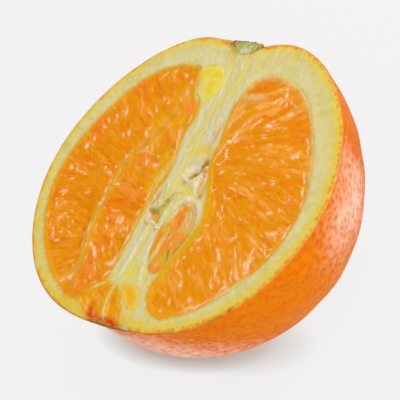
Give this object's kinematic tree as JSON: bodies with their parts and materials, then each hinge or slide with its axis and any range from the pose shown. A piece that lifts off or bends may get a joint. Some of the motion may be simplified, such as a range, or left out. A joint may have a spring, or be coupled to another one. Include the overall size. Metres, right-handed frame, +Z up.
{
  "type": "orange half",
  "caption": "Half of a ripe navel orange cut along its stem axis, resting on its rind with the juicy cut face up.",
  "frame": {"origin": "on the surface it rests on, under the middle of its box", "axes": "+Z up out of the cut face, +Y towards the stem, +X across the fruit, towards the single wide segment"},
  "size_m": [0.08, 0.071, 0.0393],
  "materials": {
    "rind": "satin",
    "pith": "satin",
    "pulp": "gloss",
    "sac": "gloss",
    "button": "matte"
  },
  "bodies": {
    "root": {"peel_and_core": "pith", "pulp_left_outer": "pulp", "pulp_left_inner": "pulp", "pulp_right": "pulp", "pulp_core": "pulp", "pulp_navel_left": "pulp", "pulp_navel_right": "pulp", "sac_navel": "sac", "sac_yellow": "sac", "stem_button": "button"}
  },
  "joints": []
}
